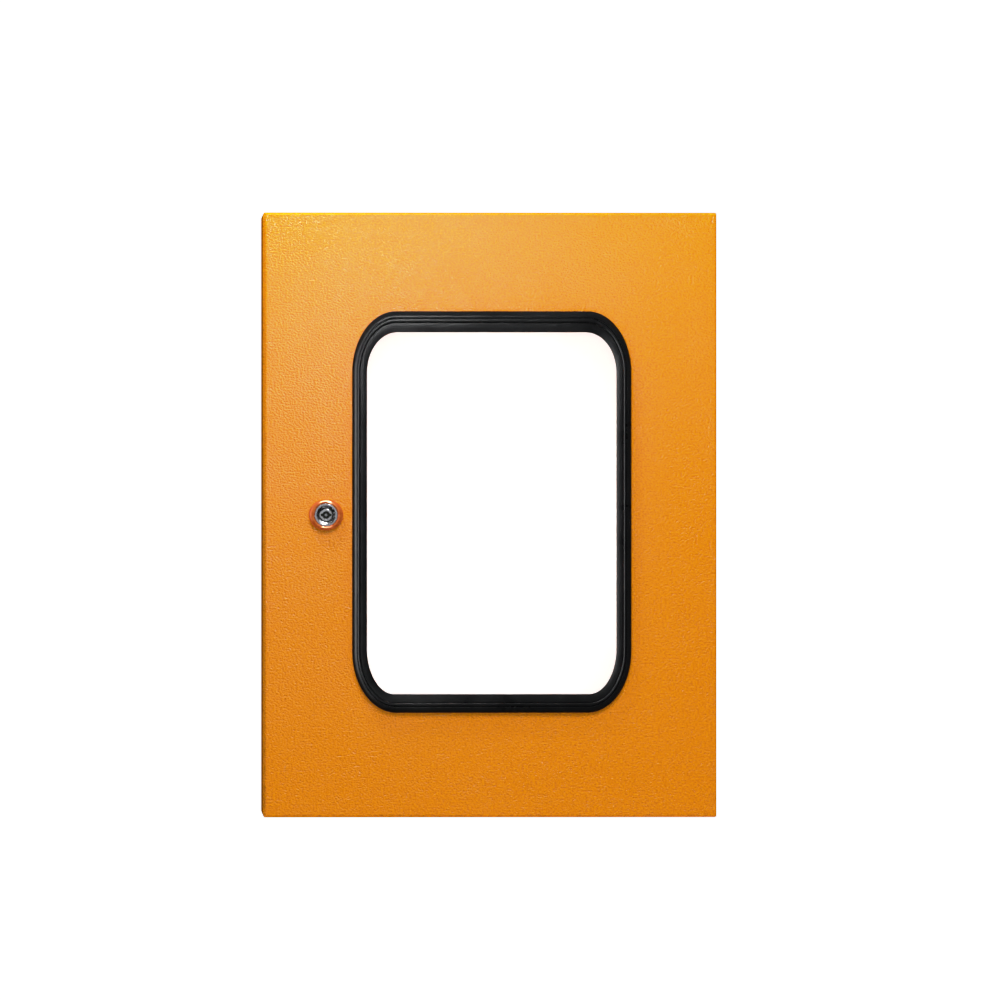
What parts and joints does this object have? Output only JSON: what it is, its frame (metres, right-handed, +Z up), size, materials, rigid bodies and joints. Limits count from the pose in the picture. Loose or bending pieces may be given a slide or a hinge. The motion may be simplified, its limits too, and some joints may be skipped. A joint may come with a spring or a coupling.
{
  "type": "glazed wall cabinet",
  "caption": "Wall-hung sheet-steel cabinet with a hinged door, rubber-glazed window, quarter-turn insert lock, mounting plate and gland plate",
  "frame": {"origin": "centre of the four wall-bolt holes, on the back face that lies against the wall", "axes": "+Y into the wall (the door faces -Y), +Z up, +X to the right seen from the front"},
  "size_m": [0.45, 0.2054, 0.6],
  "materials": {
    "orange_paint": "textured orange powder coat",
    "white_paint": "smooth white powder coat",
    "black_rubber": "extruded black rubber, satin",
    "foam_gasket": "foamed-in-place gasket, dull dark grey",
    "clear_pane": "clear safety glazing",
    "zinc_steel": "bright zinc plate",
    "hinge_steel": "plain turned steel",
    "lock_chrome": "bright chrome on zinc casting",
    "collar_lacquer": "glossy orange lacquer on the lock's collar",
    "earth_brass": "plain brass"
  },
  "bodies": {
    "cabinet": {"body_shell": "orange_paint", "rear_panel": "orange_paint", "plate_studs": "zinc_steel", "plate_spacers": "zinc_steel", "mounting_plate": "white_paint", "plate_washers": "zinc_steel", "plate_nuts": "zinc_steel", "gland_plate": "zinc_steel", "gland_gasket": "black_rubber", "gland_screws": "zinc_steel", "earth_stud": "zinc_steel", "earth_washer": "earth_brass", "earth_nut": "earth_brass", "hinge_upper_body_leaf": "zinc_steel", "hinge_lower_body_leaf": "zinc_steel", "hinge_body_screws": "zinc_steel", "hinge_upper_pin": "hinge_steel", "hinge_lower_pin": "hinge_steel", "hinge_pin_clips": "hinge_steel"},
    "door": {"door_panel": "orange_paint", "door_gasket": "foam_gasket", "window_seal": "black_rubber", "seal_key_strip": "black_rubber", "window_pane": "clear_pane", "door_rail_left": "zinc_steel", "door_rail_right": "zinc_steel", "door_rail_studs": "zinc_steel", "door_rail_nuts": "zinc_steel", "hinge_upper_door_leaf": "zinc_steel", "hinge_lower_door_leaf": "zinc_steel", "hinge_door_studs": "zinc_steel", "hinge_door_nuts": "zinc_steel", "door_earth_stud": "zinc_steel", "door_earth_nut": "earth_brass", "lock_housing": "collar_lacquer", "lock_gasket": "black_rubber", "lock_washer": "zinc_steel", "lock_nut": "zinc_steel"},
    "lock": {"lock_core": "lock_chrome", "core_oring": "black_rubber", "lock_circlip": "hinge_steel", "lock_cam": "zinc_steel", "cam_washer": "zinc_steel", "cam_screw": "zinc_steel"}
  },
  "joints": [
    {"name": "door_hinge", "type": "hinge", "parent": "cabinet", "child": "door", "pos_m": [0.218, -0.1915, 0], "axis": [0, 0, 1], "range_deg": [0, 120]},
    {"name": "lock_turn", "type": "hinge", "parent": "door", "child": "lock", "pos_m": [-0.163, -0.19, 0], "axis": [0, 1, 0], "range_deg": [0, 90]}
  ]
}
